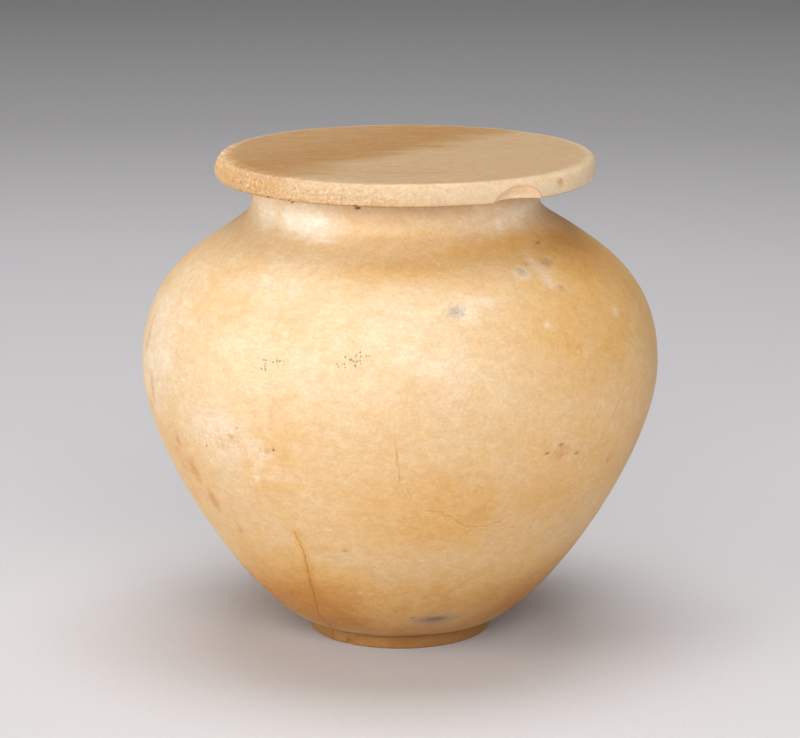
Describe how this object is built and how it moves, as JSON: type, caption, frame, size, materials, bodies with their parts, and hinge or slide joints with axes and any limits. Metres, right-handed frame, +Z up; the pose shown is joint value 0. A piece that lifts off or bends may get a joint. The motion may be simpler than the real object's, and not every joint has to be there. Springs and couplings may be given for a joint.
{
  "type": "lidded stone ointment jar",
  "caption": "Squat hollow stone ointment jar with a broad rounded shoulder, short neck and low disc foot, closed by a flat disc lid that rests loose on its mouth.",
  "frame": {"origin": "centre of the foot's flat underside", "axes": "+Z up along the jar's axis, -Y towards the front, +X to the right, where the flake is missing from the lid's lower edge"},
  "size_m": [0.1, 0.1, 0.094],
  "materials": {
    "jar_stone": "softly polished calcite alabaster, honey to cream, slightly translucent, with fine cracks, pits and stains",
    "lid_stone": "rubbed calcite alabaster, tan with a warm orange-brown band on its flat top, granular worn edge"
  },
  "bodies": {
    "root": {"jar": "jar_stone", "lid": "lid_stone"}
  },
  "joints": []
}
